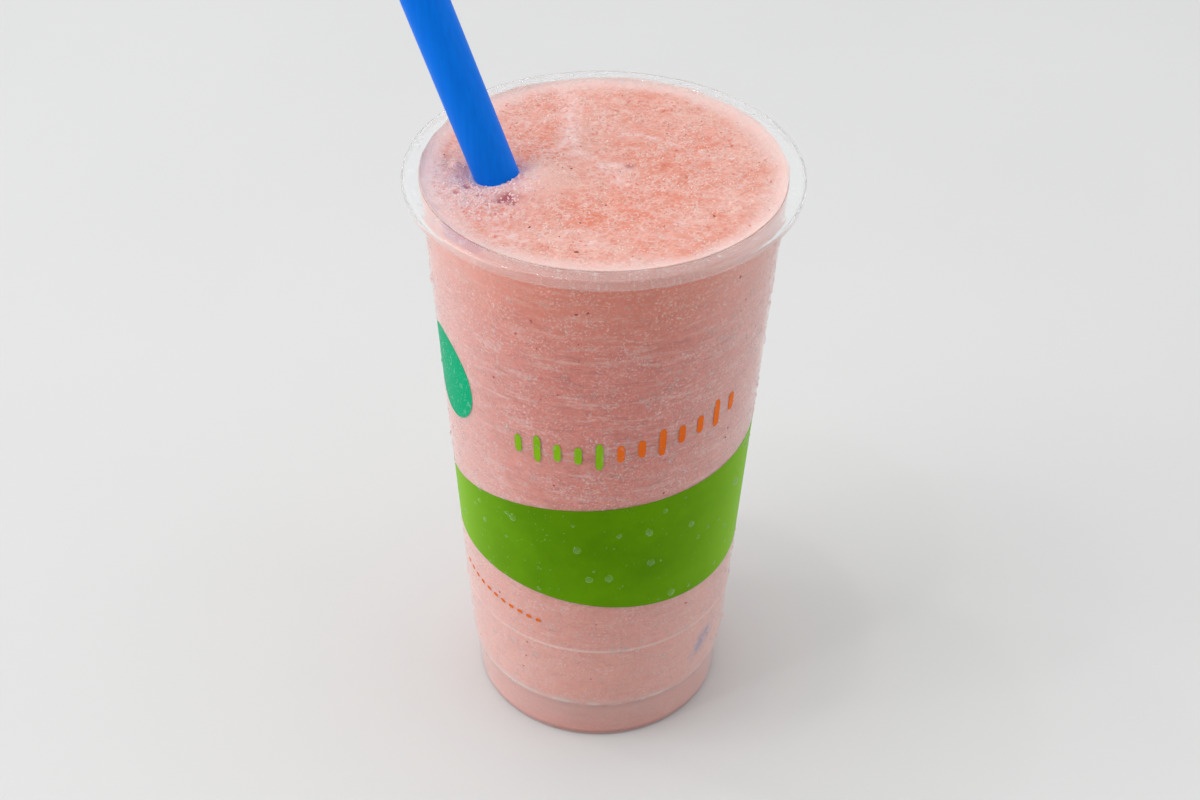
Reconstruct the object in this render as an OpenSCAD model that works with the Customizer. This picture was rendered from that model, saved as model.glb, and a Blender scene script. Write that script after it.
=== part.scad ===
// Strawberry smoothie in a clear plastic cup, with a wide straw standing in it.
// Millimetres, +Z up. The origin lies on the cup's axis, at the level the cup stands on.

/* [Cup] */
// Height of the cup, from its foot to the top of its rim
cup_height = 164; // [145:1:185]
// Diameter over the rim
rim_d = 95; // [90:0.5:110]
// How far the rim stands out from the wall
rim_width = 4.3; // [3.4:0.1:5.5]
// Height of the skirt that hangs from the rim
skirt_height = 2.6; // [2:0.1:5]
// Radius of the rim's outer edge
rim_round = 1.2; // [0.95:0.05:1.5]
// Radius of the lip, where the wall turns out into the rim
lip_round = 1.1; // [0.95:0.05:1.5]
// Thickness of the plastic
wall = 0.5; // [0.3:0.05:0.8]
// Height of the stacking bead above the foot
bead_height = 36.8; // [25:0.5:60]
// How far the stacking bead stands out
bead_out = 0.2; // [0.1:0.05:0.5]
// Half the height of the stacking bead
bead_half = 0.6; // [0.4:0.1:1.5]

/* [Foot] */
// Diameter of the foot belt at its bottom edge
belt_d = 68.8; // [62:0.2:74]
// How much wider the radius of the belt is at its top
belt_draft = 0.5; // [0:0.1:1]
// Height of the foot belt
belt_height = 13; // [8:0.5:20]
// How far the wall steps out above the belt
step_out = 0.85; // [0.4:0.05:1.5]
// Height over which the wall steps out
step_height = 1.8; // [1:0.1:3]
// Radius of the belt's bottom edge
foot_round = 1.3; // [1:0.1:2]
// Width of the ring that the cup stands on
ring_width = 2; // [1.6:0.1:4]
// Height of the raised floor's underside
floor_raise = 3.6; // [2:0.1:6]
// Slope of the step from the ring up to the floor, from upright
floor_slope = 22; // [5:1:40]

/* [Drink] */
// Depth of the drink's edge below the rim
headspace = 1.3; // [1:0.1:12]
// Gap between the drink and the wall
drink_gap = 0.1; // [0.05:0.01:0.2]
// Gap between the drink and the straw
straw_gap = 0.1; // [0.05:0.01:0.15]
// Height of the mound in front of the straw
mound_height = 1.9; // [0:0.1:4]
// Distance from the straw to the middle of the mound
mound_reach = 11; // [8:0.5:15]
// Direction of the mound seen from the straw, anticlockwise from +X
mound_turn = -27; // [-60:1:10]
// Spread of the mound
mound_spread = 6; // [4:0.5:9]
// Direction in which the crease behind the mound runs
crease_turn = 29; // [0:1:60]
// Distance from the middle of the mound to the crease
crease_reach = 7; // [4:0.5:10]
// Softness of the crease
crease_soft = 1.2; // [0.8:0.1:3]
// Depth of the hollow that the straw drags round itself
hollow_depth = 2.4; // [0:0.1:4]
// Spread of that hollow round the straw
hollow_spread = 5; // [2:0.5:6]
// Height of the low swells all over the surface
swell_height = 0.35; // [0:0.05:0.8]
// Length of a swell
swell_length = 34; // [20:1:60]
// Width of the band along the wall in which the surface runs out level
edge_band = 6; // [3:0.5:10]

/* [Straw] */
// Outer diameter of the straw
straw_d = 10.6; // [8:0.1:13]
// Thickness of the straw's wall
straw_wall = 0.35; // [0.2:0.05:0.6]
// Length of the straw, tip to mouth
straw_length = 210; // [190:1:250]
// Height at which the slanted cut of the lower end crosses the straw's axis
tip_height = 23.6; // [20:0.1:40]
// Gap between the straw's lower end and the cup
tip_gap = 0.35; // [0.3:0.05:1]
// Slant of the cut, from square
tip_angle = 50; // [30:1:60]
// Direction of the lower end, seen from the cup's axis, anticlockwise from +X
tip_turn = -35.6; // [-60:0.1:0]
// Direction of the cut's point, from the side that faces the cup
point_turn = -90; // [-180:5:180]
// Distance from the wall to the straw's axis, level with the drink's edge
surface_inset = 16.95; // [10:0.05:25]
// Direction of the straw level with the drink's edge, anticlockwise from +X
surface_turn = 181.2; // [150:0.1:210]

/* [Hidden] */
$fn = 96;

// Steps along a rounded corner of the cup
arc_steps = 6;
// Steps of the drink's surface round the cup and from the wall to the middle
drink_sides = 72;
drink_rings = 22;
// Size of the block that makes the slanted cut
cut_block = 60;
// How far a bore's cutter runs past the ends of its tube
overrun = 1;

rim_r = rim_d / 2;
wall_top_r = rim_r - rim_width;
wall_top_z = cup_height - lip_round;
belt_r = belt_d / 2;
belt_top_r = belt_r + belt_draft;
step_top_r = belt_top_r + step_out;
step_top_z = belt_height + step_height;
ring_outer_r = belt_r - foot_round;
ring_inner_r = ring_outer_r - ring_width;
floor_r = ring_inner_r - floor_raise * tan(floor_slope);
drink_z = cup_height - headspace;
straw_r = straw_d / 2;

// ---- Cup profile ----

// Points of an arc about the centre c
function arc(c, r, from, to) =
    [for (i = [0:arc_steps]) let (a = from + (to - from) * i / arc_steps) c + r * [cos(a), sin(a)]];

// The list back to front
function reversed(list) = [for (i = [len(list) - 1:-1:0]) list[i]];

// Radius of the tapered wall at height z, at a depth t inside its outer face
function wall_r(z, t = 0) =
    step_top_r + (wall_top_r - step_top_r) * (z - step_top_z) / (wall_top_z - step_top_z) - t;

// How far the floor's slope moves outward at a depth t inside the plastic
function slope_shift(t) = t * (1 - sin(floor_slope)) / cos(floor_slope);

// The cup from the middle of its floor to the top of the foot's step, at a depth t inside its outer face
function foot_profile(t) = concat(
    [[0, floor_raise + t],
     [floor_r + slope_shift(t), floor_raise + t],
     [ring_inner_r + slope_shift(t), t]],
    arc([ring_outer_r, foot_round], foot_round - t, -90, 0),
    [[belt_top_r - t, belt_height],
     [step_top_r - t, step_top_z]]);

// The outer face of the stacking bead, from its lower to its upper edge
function bead_profile() =
    [for (s = [-1:0.25:1]) let (z = bead_height + s * bead_half) [wall_r(z) + bead_out * (1 - s * s), z]];

// The rim from the wall round to the foot of its skirt, at a depth t inside its upper face
function rim_profile(t) = concat(
    arc([wall_top_r - wall + lip_round, wall_top_z], lip_round - t, 180, 90),
    arc([rim_r - rim_round, cup_height - rim_round], rim_round - t, 90, 0),
    [[rim_r - t, cup_height - skirt_height]]);

// A clear cup of one thin skin: raised floor, foot belt, tapered wall and a rim with a hanging skirt
module cup() {
    color([0.93, 0.94, 0.94, 0.35])
        rotate_extrude()
            polygon(concat(
                foot_profile(0), bead_profile(), rim_profile(wall),
                reversed(rim_profile(0)), reversed(foot_profile(wall))));
}

// ---- Straw ----

// Point on a circle of radius r at height z
function around(r, turn, z) = [r * cos(turn), r * sin(turn), z];

// Lean of the line from p to q, and the direction in which it leans
function lean_of(p, q) = let (d = q - p) atan2(norm([d[0], d[1]]), d[2]);
function turn_of(p, q) = let (d = q - p) atan2(d[1], d[0]);

// The straw's axis level with the drink's edge
surface_point = around(wall_r(drink_z, wall) - surface_inset, surface_turn, drink_z);
// The straw's axis at the lower cut: a leaning straw reaches further out than its radius
tip_wall_r = wall_r(tip_height, wall) - tip_gap;
first_lean = lean_of(around(tip_wall_r - straw_r, tip_turn, tip_height), surface_point);
tip_point = around(tip_wall_r - straw_r / cos(first_lean), tip_turn, tip_height);
straw_lean = lean_of(tip_point, surface_point);
straw_turn = turn_of(tip_point, surface_point);

// How far the cut's point lies below the middle of the cut, with a margin added to every face
function tip_drop(margin) = (straw_r + margin) * tan(tip_angle) + margin / cos(tip_angle);

// A leaning tube with a slanted lower end, grown by a margin on every face
module straw_tube(margin) {
    bottom = -tip_drop(margin);
    top = straw_length - tip_drop(0) + margin;
    translate(tip_point)
        rotate([0, straw_lean, straw_turn])
            difference() {
                translate([0, 0, bottom])
                    cylinder(h = top - bottom, r = straw_r + margin);
                translate([0, 0, bottom - overrun])
                    cylinder(h = top - bottom + 2 * overrun, r = straw_r - straw_wall - margin);
                rotate([0, 0, tip_turn + point_turn - straw_turn])
                    rotate([0, tip_angle, 0])
                        translate([-cut_block / 2, -cut_block / 2, -cut_block - margin])
                            cube(cut_block);
            }
}

// A wide plastic straw that stands in the drink with its pointed end down by the wall
module straw() {
    color([0.02, 0.38, 0.79]) straw_tube(0);
}

// ---- Drink ----

mound_point = surface_point + around(mound_reach, mound_turn, 0);
crease_across = [-sin(crease_turn), cos(crease_turn)];

// A smooth hump of height 1 about the point c
function hump(x, y, c, spread) = exp(-((x - c[0]) ^ 2 + (y - c[1]) ^ 2) / (2 * spread ^ 2));

// 1 in front of the crease and 0 behind it
function before_crease(x, y) =
    1 / (1 + exp(([x - mound_point[0], y - mound_point[1]] * crease_across - crease_reach) / crease_soft));

// Low swells that run across each other
function swell(x, y) =
    sin(360 * x / swell_length) * cos(360 * (y + x / 3) / swell_length);

// Height of the drink's surface above its edge
function relief(x, y) =
    mound_height * hump(x, y, mound_point, mound_spread) * before_crease(x, y)
    - hollow_depth * hump(x, y, surface_point, hollow_spread)
    + swell_height * swell(x, y);

// 0 at the drink's edge, rising to 1 at the inner side of the level band
function inside_band(r, edge_r) =
    let (s = min(1, (edge_r - r) / edge_band)) s * s * (3 - 2 * s);

// Every ring of the drink's skin: its side from the floor up, then its surface from the wall inward
drink_depth = wall + drink_gap;
drink_side = [for (p = foot_profile(drink_depth)) if (p[0] > 0) p];
drink_edge_r = wall_r(drink_z, drink_depth);
drink_angles = [for (i = [0:drink_sides - 1]) 360 * i / drink_sides];
side_rings = [for (p = concat(drink_side, [[drink_edge_r, drink_z]]))
    [for (a = drink_angles) around(p[0], a, p[1])]];
surface_rings = [for (k = [1:drink_rings - 1]) let (r = drink_edge_r * (1 - k / drink_rings))
    [for (a = drink_angles) let (p = around(r, a, drink_z))
        p + [0, 0, relief(p[0], p[1]) * inside_band(r, drink_edge_r)]]];
skin_rings = concat(side_rings, surface_rings);
skin_points = concat(
    [for (ring = skin_rings) for (p = ring) p],
    [[0, 0, floor_raise + drink_depth], [0, 0, drink_z + relief(0, 0)]]);

// Number of the skin's point i on ring k
function skin_at(k, i) = k * drink_sides + i % drink_sides;

last_ring = len(skin_rings) - 1;
floor_point = len(skin_rings) * drink_sides;
middle_point = floor_point + 1;
skin_faces = concat(
    [for (i = [0:drink_sides - 1]) [floor_point, skin_at(0, i), skin_at(0, i + 1)]],
    [for (k = [0:last_ring - 1]) for (i = [0:drink_sides - 1])
        [skin_at(k, i), skin_at(k + 1, i), skin_at(k + 1, i + 1)]],
    [for (k = [0:last_ring - 1]) for (i = [0:drink_sides - 1])
        [skin_at(k, i), skin_at(k + 1, i + 1), skin_at(k, i + 1)]],
    [for (i = [0:drink_sides - 1]) [middle_point, skin_at(last_ring, i + 1), skin_at(last_ring, i)]]);

// The thick drink: it fills the cup, with an uneven surface, and stands inside and around the straw
module smoothie() {
    color([0.91, 0.62, 0.56])
        difference() {
            polyhedron(points = skin_points, faces = skin_faces);
            straw_tube(straw_gap);
        }
}

cup();
smoothie();
straw();
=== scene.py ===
import math

import bpy
import numpy as np
from mathutils import Matrix, Vector


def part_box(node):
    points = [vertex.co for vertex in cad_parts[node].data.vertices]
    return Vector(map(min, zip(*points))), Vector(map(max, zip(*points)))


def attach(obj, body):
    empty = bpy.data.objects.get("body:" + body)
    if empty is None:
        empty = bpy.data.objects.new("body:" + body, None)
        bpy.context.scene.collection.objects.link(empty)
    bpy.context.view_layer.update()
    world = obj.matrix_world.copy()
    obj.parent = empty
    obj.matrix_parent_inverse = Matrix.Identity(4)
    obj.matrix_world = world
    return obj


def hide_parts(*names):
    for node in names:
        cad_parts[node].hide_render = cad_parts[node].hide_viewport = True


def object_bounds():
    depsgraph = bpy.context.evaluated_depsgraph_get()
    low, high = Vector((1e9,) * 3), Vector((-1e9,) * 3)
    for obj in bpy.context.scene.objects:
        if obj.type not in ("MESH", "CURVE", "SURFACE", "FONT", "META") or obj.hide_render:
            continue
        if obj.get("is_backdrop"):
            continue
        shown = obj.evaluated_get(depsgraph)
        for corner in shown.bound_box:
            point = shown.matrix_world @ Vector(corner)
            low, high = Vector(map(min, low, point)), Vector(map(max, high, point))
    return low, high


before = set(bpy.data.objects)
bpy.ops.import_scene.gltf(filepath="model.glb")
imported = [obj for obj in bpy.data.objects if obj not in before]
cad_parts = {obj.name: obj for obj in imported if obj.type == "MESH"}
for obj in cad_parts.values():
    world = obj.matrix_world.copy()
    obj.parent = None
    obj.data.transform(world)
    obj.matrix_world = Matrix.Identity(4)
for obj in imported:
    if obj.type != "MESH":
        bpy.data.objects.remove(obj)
cad_low, cad_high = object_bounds()

# ---------------------------------------------------------------------------
# The view and the light. The cup is seen from above and in front by a 50 mm lens. A wide soft source
# hangs above, two soft ones stand low at the left and the right, and five small ceiling lamps at the
# left give the faint round shadows and the glints. A pale room does the rest.

camera_place = Vector((-0.0002, -0.3382, 0.3672))
camera_pitch = math.radians(39.01)
camera_roll = math.radians(0.8)

camera_data = bpy.data.cameras.new("camera")
camera_data.lens = 50
camera_data.sensor_width = 36
camera_data.clip_start = 0.01
camera = bpy.data.objects.new("camera", camera_data)
bpy.context.scene.collection.objects.link(camera)
camera.matrix_world = (
    Matrix.Translation(camera_place)
    @ Matrix.Rotation(math.pi / 2 - camera_pitch, 4, "X")
    @ Matrix.Rotation(camera_roll, 4, "Z")
)
bpy.context.scene.camera = camera
bpy.context.scene.view_settings.view_transform = "Standard"


def add_lamp(name, shape, place, size, power):
    """A lamp that faces the cup."""
    data = bpy.data.lights.new(name, "AREA")
    data.shape = shape
    data.size = size
    data.energy = power
    lamp = bpy.data.objects.new(name, data)
    bpy.context.scene.collection.objects.link(lamp)
    lamp.location = place
    lamp.rotation_euler = (Vector((0, 0, 0.08)) - Vector(place)).to_track_quat("-Z", "Y").to_euler()


add_lamp("lamp_soft", "SQUARE", (-0.35, 0.1, 1.8), 1.7, 5)
add_lamp("lamp_left", "SQUARE", (-1.25, -0.35, 0.75), 1.0, 6)
add_lamp("lamp_right", "SQUARE", (1.3, -0.4, 0.7), 1.2, 3.8)
ceiling_height = 2.0
ceiling_lamp_size = 0.09
ceiling_lamps = [(-0.39, -0.12, 1.5), (-0.74, -0.58, 1.2), (-1.28, -0.37, 1.1), (-0.88, 0.22, 1.1),
                 (-1.38, 0.39, 1.1)]
for number, (x, y, power) in enumerate(ceiling_lamps):
    add_lamp(f"lamp_ceiling_{number + 1}", "DISK", (x, y, ceiling_height), ceiling_lamp_size, power)


def fill(socket, value):
    """Joins another node's output to a socket, or sets the socket's own value."""
    if isinstance(value, bpy.types.NodeSocket):
        socket.id_data.links.new(value, socket)
    else:
        socket.default_value = value


def add_node(nodes, kind, **settings):
    """A node with its own settings, and with its inputs named by in_ and their title or number."""
    node = nodes.new("ShaderNode" + kind)
    for key, value in settings.items():
        if not key.startswith("in_"):
            setattr(node, key, value)
        elif key[3:].isdigit():
            fill(node.inputs[int(key[3:])], value)
        else:
            fill(node.inputs[key[3:].replace("_", " ")], value)
    return node


room = bpy.data.worlds.new("room")
bpy.context.scene.world = room
room.use_nodes = True
room_nodes = room.node_tree.nodes
room_side = add_node(room_nodes, "TexCoord")
room_split = add_node(room_nodes, "SeparateXYZ", in_Vector=room_side.outputs["Generated"])
room_mix = add_node(room_nodes, "Math", operation="MULTIPLY_ADD", in_0=room_split.outputs["X"],
                    in_1=-0.3, in_2=room_split.outputs["Y"])
room_ramp = add_node(room_nodes, "MapRange", interpolation_type="SMOOTHSTEP", in_From_Min=-0.9,
                     in_From_Max=0.3, in_To_Min=0.35, in_To_Max=0.85, in_Value=room_mix.outputs["Value"])
room_light = room_nodes["Background"]
fill(room_light.inputs["Strength"], 1.0)
fill(room_light.inputs["Color"], room_ramp.outputs["Result"])

# ---------------------------------------------------------------------------
# The table: a plain pale matt top of painted board, with a trace of unevenness in its tone. It isn't
# part of the object.

table_half = 4.0


class Shader:
    """A material with its Principled shader, and short ways to add nodes and to fill the shader."""

    def __init__(self, name):
        self.material = bpy.data.materials.new(name)
        self.material.use_nodes = True
        self.nodes = self.material.node_tree.nodes
        self.surface = self.nodes["Principled BSDF"]
        self.output = self.nodes["Material Output"]

    def set(self, **values):
        """Fills the shader's sockets, named by their titles."""
        for key, value in values.items():
            fill(self.surface.inputs[key.replace("_", " ")], value)

    def add(self, kind, **settings):
        """Adds a node to the material."""
        return add_node(self.nodes, kind, **settings)

    def smooth(self, source, start, end, low=0.0, high=1.0):
        """A soft step from low to high as the source goes from start to end."""
        step = self.add("MapRange", interpolation_type="SMOOTHSTEP", in_Value=source, in_From_Min=start,
                        in_From_Max=end, in_To_Min=low, in_To_Max=high)
        return step.outputs["Result"]

    def ramp(self, source, start, low, end, high):
        """Colour from low to high as the source goes from start to end."""
        tone = self.add("ValToRGB", in_Fac=source)
        for stop, place, colour in zip(tone.color_ramp.elements, (start, end), (low, high)):
            stop.position = place
            stop.color = colour
        return tone.outputs["Color"]


def linear(red, green, blue):
    """A screen colour of 0 to 255 as the renderer's own linear values."""
    def one(v):
        v /= 255
        return v / 12.92 if v <= 0.04045 else ((v + 0.055) / 1.055) ** 2.4
    return (one(red), one(green), one(blue), 1.0)


def make_piece(name, points, faces, material, sharp=60):
    """A smooth mesh object from points in metres, with edges over the sharp angle kept crisp."""
    mesh = bpy.data.meshes.new(name)
    mesh.from_pydata([tuple(p) for p in points], [], [tuple(int(i) for i in f) for f in faces])
    mesh.update()
    mesh.polygons.foreach_set("use_smooth", np.full(len(mesh.polygons), sharp > 0))
    mesh.set_sharp_from_angle(angle=math.radians(sharp))
    piece = bpy.data.objects.new(name, mesh)
    bpy.context.scene.collection.objects.link(piece)
    mesh.materials.append(material)
    return piece


table_paint = Shader("table_top")
table_spot = table_paint.add("TexCoord")
table_noise = table_paint.add("TexNoise", in_Scale=6.0, in_Detail=4.0,
                              in_Vector=table_spot.outputs["Object"])
table_tone = table_paint.ramp(table_noise.outputs["Fac"], 0.3, (0.705, 0.71, 0.71, 1),
                              0.7, (0.725, 0.73, 0.73, 1))
table_paint.set(Base_Color=table_tone, Roughness=0.75, Specular_IOR_Level=0.25)
table_corners = [(-table_half, -table_half), (table_half, -table_half),
                 (table_half, table_half), (-table_half, table_half)]
table = make_piece("table", [(x, y, cad_low.z) for x, y in table_corners], [(0, 1, 2, 3)],
                   table_paint.material)
table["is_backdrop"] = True

# ---------------------------------------------------------------------------
# The cup: one thin skin of clear plastic, formed over a mould, with a foot belt, a stacking bead
# and a rim that turns out and down. Fine dew dulls the outside of its wall, and mist whitens the rim.

cup_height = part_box("cup")[1].z
rim_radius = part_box("cup")[1].x
plastic = 0.0005
rim_width = 0.0043
lip_round = 0.0011
belt_radius = 0.0344
belt_draft = 0.0005
belt_height = 0.013
step_out = 0.00085
step_height = 0.0018
foot_round = 0.0013
ring_width = 0.002
floor_raise = 0.0036
floor_slope = math.radians(22)
bead_height = 0.0368
bead_out = 0.0002
bead_half = 0.0006
rim_round = 0.0012
skirt_height = 0.0026

wall_top_radius = rim_radius - rim_width
wall_top_height = cup_height - lip_round
step_top_radius = belt_radius + belt_draft + step_out
step_top_height = belt_height + step_height
wall_lean = (wall_top_radius - step_top_radius) / (wall_top_height - step_top_height)


def wall_radius(height, depth=0.0):
    """Radius of the tapered wall at a height, at a depth inside its outer face."""
    return step_top_radius + wall_lean * (height - step_top_height) - depth


def dew_group():
    """Fine dew on cold plastic, as a height for the bump."""
    tree = bpy.data.node_groups.new("fine_dew", "ShaderNodeTree")
    tree.interface.new_socket("Bead Size", in_out="INPUT", socket_type="NodeSocketFloat")
    tree.interface.new_socket("Amount", in_out="INPUT", socket_type="NodeSocketFloat")
    tree.interface.new_socket("Height", in_out="OUTPUT", socket_type="NodeSocketFloat")
    given = tree.nodes.new("NodeGroupInput")
    result = tree.nodes.new("NodeGroupOutput")
    spot = add_node(tree.nodes, "TexCoord")
    per_metre = add_node(tree.nodes, "Math", operation="DIVIDE", in_0=1.0,
                         in_1=given.outputs["Bead Size"])
    cells = add_node(tree.nodes, "TexVoronoi", feature="F1", in_Randomness=1.0,
                     in_Vector=spot.outputs["Object"], in_Scale=per_metre.outputs["Value"])
    dome = add_node(tree.nodes, "MapRange", interpolation_type="SMOOTHSTEP", in_From_Min=0.42,
                    in_From_Max=0.1, in_To_Min=0.0, in_To_Max=1.0, in_Value=cells.outputs["Distance"])
    patches = add_node(tree.nodes, "TexNoise", in_Scale=140.0, in_Detail=3.0,
                       in_Vector=spot.outputs["Object"])
    patchy = add_node(tree.nodes, "MapRange", in_From_Min=0.38, in_From_Max=0.62,
                      in_Value=patches.outputs["Fac"])
    kept = add_node(tree.nodes, "Math", operation="MULTIPLY", in_0=dome.outputs["Result"],
                    in_1=patchy.outputs["Result"])
    scaled = add_node(tree.nodes, "Math", operation="MULTIPLY", in_0=kept.outputs["Value"],
                      in_1=given.outputs["Amount"])
    fill(result.inputs["Height"], scaled.outputs["Value"])
    return tree


fine_dew = dew_group()


def let_lamps_through(shader):
    """Rays from lamps pass a clear piece straight, so that what is behind it is lit."""
    path = shader.add("LightPath")
    clear = shader.add("BsdfTransparent")
    mix = shader.add("MixShader", in_0=path.outputs["Is Shadow Ray"],
                     in_1=shader.surface.outputs["BSDF"], in_2=clear.outputs["BSDF"])
    fill(shader.output.inputs["Surface"], mix.outputs["Shader"])


cup_clear = Shader("cup_clear_plastic")
cup_clear.set(Base_Color=(0.985, 0.99, 0.99, 1), Transmission_Weight=1.0, IOR=1.46, Roughness=0.05)
cup_spot = cup_clear.add("TexCoord")
cup_split = cup_clear.add("SeparateXYZ", in_Vector=cup_spot.outputs["Object"])
cup_low_dew = cup_clear.smooth(cup_split.outputs["Z"], 0.03, 0.1, 0.15, 1.0)
cup_high_dew = cup_clear.smooth(cup_split.outputs["Z"], 0.158, 0.15, 0.0, 1.0)
cup_dew_share = cup_clear.add("Math", operation="MULTIPLY", in_0=cup_low_dew, in_1=cup_high_dew)
cup_dew = cup_clear.add("Group", node_tree=fine_dew, in_Bead_Size=0.0011,
                        in_Amount=cup_dew_share.outputs["Value"])
cup_ripple = cup_clear.add("TexNoise", in_Scale=60.0, in_Detail=2.0,
                           in_Vector=cup_spot.outputs["Object"])
cup_ripple_part = cup_clear.add("Math", operation="MULTIPLY_ADD", in_1=0.6,
                                in_0=cup_ripple.outputs["Fac"], in_2=cup_dew.outputs["Height"])
cup_bump = cup_clear.add("Bump", in_Strength=0.45, in_Distance=0.00022,
                         in_Height=cup_ripple_part.outputs["Value"])
cup_clear.set(Normal=cup_bump.outputs["Normal"])
let_lamps_through(cup_clear)


def arc_points(centre, radius, start, end, count):
    """Points of an arc in (radius, height), with angles in degrees."""
    found = []
    for step in range(count + 1):
        a = math.radians(start + (end - start) * step / count)
        found.append((centre[0] + radius * math.cos(a), centre[1] + radius * math.sin(a)))
    return found


def foot_line(depth):
    """The foot and belt, from the middle of the raised floor to the top of the step."""
    shift = depth * (1 - math.sin(floor_slope)) / math.cos(floor_slope)
    ring_out = belt_radius - foot_round
    ring_in = ring_out - ring_width
    raised = ring_in - floor_raise * math.tan(floor_slope)
    line = [(0, floor_raise + depth), (raised * 0.5, floor_raise + depth),
            (raised + shift - 0.0004, floor_raise + depth),
            (raised + shift + 0.00035, floor_raise + depth - 0.0007),
            (ring_in + shift - 0.0003, depth + 0.0007), (ring_in + shift + 0.0003, depth)]
    line += arc_points((ring_out, foot_round), foot_round - depth, -90, -4, 7)
    line += [(belt_radius + belt_draft - depth - 0.00002, belt_height - 0.0006),
             (belt_radius + belt_draft - depth + 0.00012, belt_height + 0.0001),
             (step_top_radius - depth - 0.00022, step_top_height - 0.0004),
             (step_top_radius - depth - 0.00005, step_top_height + 0.0001),
             (wall_radius(step_top_height + 0.0006, depth), step_top_height + 0.0006)]
    return line


def wall_line(depth, bead, low, high, rows):
    """The tapered wall between two heights, with its stacking bead if asked."""
    heights = [low + (high - low) * row / rows for row in range(1, rows + 1)]
    if bead:
        edge = [bead_height + bead_half * k / 4 for k in range(-5, 6)]
        heights = sorted([h for h in heights if abs(h - bead_height) > 1.5 * bead_half] + edge)
    line = []
    for height in heights:
        swell = max(0.0, 1 - ((height - bead_height) / bead_half) ** 2) if bead else 0.0
        line.append((wall_radius(height, depth) + bead_out * swell, height))
    return line


def spin(name, line, sides, material):
    """A closed mesh from a line of (radius, height) that starts and ends on the axis."""
    turns = 2 * np.pi * np.arange(sides) / sides
    rings = [np.column_stack([r * np.cos(turns), r * np.sin(turns), np.full(sides, z)])
             for r, z in line[1:-1]]
    points = np.vstack(rings + [np.array([[0, 0, line[0][1]], [0, 0, line[-1][1]]])])
    first = len(rings) * sides
    faces = []
    for k in range(len(rings) - 1):
        for i in range(sides):
            j = (i + 1) % sides
            faces.append((k * sides + i, k * sides + j, (k + 1) * sides + j, (k + 1) * sides + i))
    last = (len(rings) - 1) * sides
    for i in range(sides):
        j = (i + 1) % sides
        faces.append((first, j, i))
        faces.append((first + 1, last + i, last + j))
    return make_piece(name, points, faces, material)


lip_centre = (wall_top_radius - plastic + lip_round, wall_top_height)
edge_centre = (rim_radius - rim_round, cup_height - rim_round)
skirt_low = cup_height - skirt_height
outer_line = foot_line(0) + wall_line(0, True, step_top_height + 0.0006, wall_top_height, 26)
outer_line += arc_points(lip_centre, lip_round - plastic, 175, 92, 6)
outer_line += arc_points(edge_centre, rim_round - plastic, 90, 0, 6)
outer_line += [(rim_radius - plastic, skirt_low + 0.0002)]
outer_line += arc_points((rim_radius - plastic / 2, skirt_low + plastic / 2), plastic / 2, 180, 360, 6)
outer_line += arc_points(edge_centre, rim_round, 0, 90, 8)
outer_line += arc_points(lip_centre, lip_round, 90, 180, 8)
inner_line = foot_line(plastic)
inner_line += wall_line(plastic, False, step_top_height + 0.0006, wall_top_height - 0.001, 26)
cup = spin("cup_skin", outer_line + inner_line[::-1], 320, cup_clear.material)

# mist lies on the rim and its skirt
cup_misted = Shader("cup_misted_plastic")
cup_misted.set(Base_Color=(0.965, 0.97, 0.975, 1), Transmission_Weight=0.94, IOR=1.46)
mist_spot = cup_misted.add("TexCoord")
mist_cloud = cup_misted.add("TexNoise", in_Scale=260.0, in_Detail=5.0, in_Roughness=0.6,
                            in_Vector=mist_spot.outputs["Object"])
mist_rough = cup_misted.add("MapRange", in_From_Min=0.35, in_From_Max=0.65, in_To_Min=0.02,
                            in_To_Max=0.13, in_Value=mist_cloud.outputs["Fac"])
mist_bump = cup_misted.add("Bump", in_Strength=0.35, in_Distance=0.00015,
                           in_Height=mist_cloud.outputs["Fac"])
cup_misted.set(Roughness=mist_rough.outputs["Result"], Normal=mist_bump.outputs["Normal"])
let_lamps_through(cup_misted)
cup.data.materials.append(cup_misted.material)
for face in cup.data.polygons:
    if face.center.z > skirt_low - 0.0004 and face.center.xy.length > wall_top_radius + 0.0002:
        face.material_index = 1
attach(cup, "root")
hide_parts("cup")

# ---------------------------------------------------------------------------
# The print: flat fields of ink on the outside of the wall. A broad green band rises towards one
# side, a teal spot sits above it, and rows of plain dashes stand where such cups carry words.

ink_out = 0.00003
ink_in = 0.00003
band_sides = 360
band_rows = 12
band_top = (0.0864, 0.0089, 0.0037, -0.0024, 0.0004)
band_bottom = (0.0565, -0.0022, -0.0015, -0.0011, 0.0003)
spot_turn = math.radians(-157)
spot_height = 0.115
spot_radius = 0.0124


def ink_shader(name, low, high, edge, roughness):
    """Glossy ink that varies a little in strength, with fine dew over it, and a painted sheen that makes it
    lighter where it turns away.
    """
    ink = Shader(name)
    spot = ink.add("TexCoord")
    cloud = ink.add("TexNoise", in_Scale=70.0, in_Detail=5.0, in_Roughness=0.6,
                    in_Vector=spot.outputs["Object"])
    tone = ink.ramp(cloud.outputs["Fac"], 0.32, low, 0.68, high)
    # painted sheen: the ink's colour turns towards the lighter edge colour where its face turns away from
    # the view
    turned = ink.add("LayerWeight", in_Blend=0.3)
    turned_share = ink.smooth(turned.outputs["Facing"], 0.15, 0.75)
    painted_sheen = ink.add("Mix", data_type="RGBA", in_0=turned_share, in_6=tone, in_7=edge)
    dew = ink.add("Group", node_tree=fine_dew, in_Bead_Size=0.0013, in_Amount=0.35)
    bump = ink.add("Bump", in_Strength=0.3, in_Distance=0.0002, in_Height=dew.outputs["Height"])
    ink.set(Base_Color=painted_sheen.outputs[2], Normal=bump.outputs["Normal"])
    ink.set(Roughness=roughness, Specular_IOR_Level=0.02)
    return ink.material


def wall_point(turn, height, out):
    """A point that stands out from the wall's outer face."""
    radius = wall_radius(height) + out
    return (radius * math.cos(turn), radius * math.sin(turn), height)


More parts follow.
